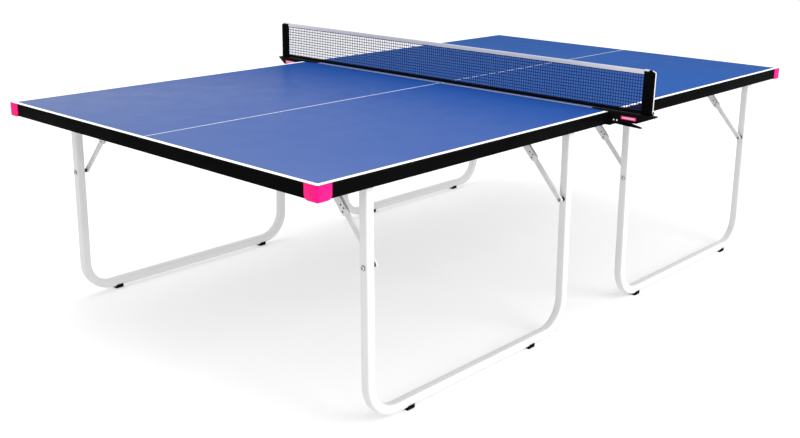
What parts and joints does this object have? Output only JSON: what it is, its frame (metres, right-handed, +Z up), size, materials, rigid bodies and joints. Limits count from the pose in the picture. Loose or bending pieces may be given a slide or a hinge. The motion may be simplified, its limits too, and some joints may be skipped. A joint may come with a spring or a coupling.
{
  "type": "folding table-tennis table",
  "caption": "Free-standing table-tennis table in two halves, each on folding U legs with jointed braces, with a clip-on net across the middle.",
  "frame": {"origin": "on the floor, under the middle of the net", "axes": "+X along the table from the near end to the far end, +Y across it along the net, +Z up"},
  "size_m": [2.7426, 1.864, 0.9138],
  "materials": {
    "top_blue": "satin",
    "apron_black": "satin",
    "leg_silver": "satin",
    "link_zinc": "satin",
    "foot_rubber": "matte",
    "cap_pink": "satin",
    "clamp_black": "satin",
    "net_cord": "matte",
    "tape_white": "matte",
    "tape_black": "matte",
    "bolt_black": "satin"
  },
  "bodies": {
    "near_half": {"near_top": "top_blue", "near_frame": "apron_black", "near_cross_member_end": "leg_silver", "near_cross_member_net": "leg_silver", "corner_cap_near_front": "cap_pink", "corner_cap_near_back": "cap_pink", "net_mesh": "net_cord", "net_top_tape": "tape_white", "net_bottom_tape": "tape_black", "net_tension_cord": "tape_white", "net_post_front": "tape_black", "net_post_back": "tape_black", "clamp_jaw_front": "clamp_black", "clamp_jaw_back": "clamp_black", "clamp_pin_front": "bolt_black", "clamp_pin_back": "bolt_black"},
    "far_half": {"far_top": "top_blue", "far_frame": "apron_black", "far_cross_member_end": "leg_silver", "far_cross_member_net": "leg_silver", "corner_cap_far_front": "cap_pink", "corner_cap_far_back": "cap_pink"},
    "folding_leg_near_front": {"leg_near_front": "leg_silver", "foot_near_front_end": "foot_rubber", "foot_near_front_net": "foot_rubber", "brace_bolt_near_front_end": "bolt_black", "brace_bolt_near_front_net": "bolt_black"},
    "upper_braces_near_front": {"brace_upper_near_front_end": "link_zinc", "brace_upper_near_front_net": "link_zinc"},
    "lower_braces_near_front": {"brace_lower_near_front_end": "link_zinc", "brace_lower_near_front_net": "link_zinc"},
    "folding_leg_near_back": {"leg_near_back": "leg_silver", "foot_near_back_end": "foot_rubber", "foot_near_back_net": "foot_rubber", "brace_bolt_near_back_end": "bolt_black", "brace_bolt_near_back_net": "bolt_black"},
    "upper_braces_near_back": {"brace_upper_near_back_end": "link_zinc", "brace_upper_near_back_net": "link_zinc"},
    "lower_braces_near_back": {"brace_lower_near_back_end": "link_zinc", "brace_lower_near_back_net": "link_zinc"},
    "folding_leg_far_front": {"leg_far_front": "leg_silver", "foot_far_front_end": "foot_rubber", "foot_far_front_net": "foot_rubber", "brace_bolt_far_front_end": "bolt_black", "brace_bolt_far_front_net": "bolt_black"},
    "upper_braces_far_front": {"brace_upper_far_front_end": "link_zinc", "brace_upper_far_front_net": "link_zinc"},
    "lower_braces_far_front": {"brace_lower_far_front_end": "link_zinc", "brace_lower_far_front_net": "link_zinc"},
    "folding_leg_far_back": {"leg_far_back": "leg_silver", "foot_far_back_end": "foot_rubber", "foot_far_back_net": "foot_rubber", "brace_bolt_far_back_end": "bolt_black", "brace_bolt_far_back_net": "bolt_black"},
    "upper_braces_far_back": {"brace_upper_far_back_end": "link_zinc", "brace_upper_far_back_net": "link_zinc"},
    "lower_braces_far_back": {"brace_lower_far_back_end": "link_zinc", "brace_lower_far_back_net": "link_zinc"},
    "clamp_lever_front_body": {"clamp_lever_front": "clamp_black"},
    "clamp_lever_back_body": {"clamp_lever_back": "clamp_black"}
  },
  "joints": [
    {"name": "halves_apart", "type": "slide", "parent": "near_half", "child": "far_half", "axis": [1, 0, 0], "range_m": [0, 0.4]},
    {"name": "leg_fold_near_front", "type": "hinge", "parent": "near_half", "child": "folding_leg_near_front", "pos_m": [-0.67315, -0.719, 0.714], "axis": [1, 0, 0], "range_deg": [0, 91.2]},
    {"name": "upper_brace_fold_near_front", "type": "hinge", "parent": "near_half", "child": "upper_braces_near_front", "pos_m": [-0.67315, -0.51501, 0.714], "axis": [1, 0, 0], "range_deg": [-48, 0]},
    {"name": "lower_brace_fold_near_front", "type": "hinge", "parent": "folding_leg_near_front", "child": "lower_braces_near_front", "pos_m": [-0.67315, -0.72386, 0.48205], "axis": [1, 0, 0], "range_deg": [0, 40.8]},
    {"name": "leg_fold_near_back", "type": "hinge", "parent": "near_half", "child": "folding_leg_near_back", "pos_m": [-0.67315, 0.719, 0.714], "axis": [-1, 0, 0], "range_deg": [0, 91.2]},
    {"name": "upper_brace_fold_near_back", "type": "hinge", "parent": "near_half", "child": "upper_braces_near_back", "pos_m": [-0.67315, 0.51501, 0.714], "axis": [-1, 0, 0], "range_deg": [-48, 0]},
    {"name": "lower_brace_fold_near_back", "type": "hinge", "parent": "folding_leg_near_back", "child": "lower_braces_near_back", "pos_m": [-0.67315, 0.72386, 0.48205], "axis": [-1, 0, 0], "range_deg": [0, 40.8]},
    {"name": "leg_fold_far_front", "type": "hinge", "parent": "far_half", "child": "folding_leg_far_front", "pos_m": [0.67315, -0.719, 0.714], "axis": [1, 0, 0], "range_deg": [0, 91.2]},
    {"name": "upper_brace_fold_far_front", "type": "hinge", "parent": "far_half", "child": "upper_braces_far_front", "pos_m": [0.67315, -0.51501, 0.714], "axis": [1, 0, 0], "range_deg": [-48, 0]},
    {"name": "lower_brace_fold_far_front", "type": "hinge", "parent": "folding_leg_far_front", "child": "lower_braces_far_front", "pos_m": [0.67315, -0.72386, 0.48205], "axis": [1, 0, 0], "range_deg": [0, 40.8]},
    {"name": "leg_fold_far_back", "type": "hinge", "parent": "far_half", "child": "folding_leg_far_back", "pos_m": [0.67315, 0.719, 0.714], "axis": [-1, 0, 0], "range_deg": [0, 91.2]},
    {"name": "upper_brace_fold_far_back", "type": "hinge", "parent": "far_half", "child": "upper_braces_far_back", "pos_m": [0.67315, 0.51501, 0.714], "axis": [-1, 0, 0], "range_deg": [-48, 0]},
    {"name": "lower_brace_fold_far_back", "type": "hinge", "parent": "folding_leg_far_back", "child": "lower_braces_far_back", "pos_m": [0.67315, 0.72386, 0.48205], "axis": [-1, 0, 0], "range_deg": [0, 40.8]},
    {"name": "clamp_squeeze_front", "type": "hinge", "parent": "near_half", "child": "clamp_lever_front_body", "pos_m": [0, -0.779, 0.7345], "axis": [-1, 0, 0], "range_deg": [0, 12], "stiffness_Nm_per_rad": 2, "springref_deg": -17.19},
    {"name": "clamp_squeeze_back", "type": "hinge", "parent": "near_half", "child": "clamp_lever_back_body", "pos_m": [0, 0.779, 0.7345], "axis": [1, 0, 0], "range_deg": [0, 12], "stiffness_Nm_per_rad": 2, "springref_deg": -17.19}
  ],
  "couplings": [
    {"joint": "upper_brace_fold_near_front", "follows": "leg_fold_near_front", "ratio": -0.52632},
    {"joint": "lower_brace_fold_near_front", "follows": "leg_fold_near_front", "ratio": 0.44737},
    {"joint": "upper_brace_fold_near_back", "follows": "leg_fold_near_back", "ratio": -0.52632},
    {"joint": "lower_brace_fold_near_back", "follows": "leg_fold_near_back", "ratio": 0.44737},
    {"joint": "upper_brace_fold_far_front", "follows": "leg_fold_far_front", "ratio": -0.52632},
    {"joint": "lower_brace_fold_far_front", "follows": "leg_fold_far_front", "ratio": 0.44737},
    {"joint": "upper_brace_fold_far_back", "follows": "leg_fold_far_back", "ratio": -0.52632},
    {"joint": "lower_brace_fold_far_back", "follows": "leg_fold_far_back", "ratio": 0.44737}
  ]
}
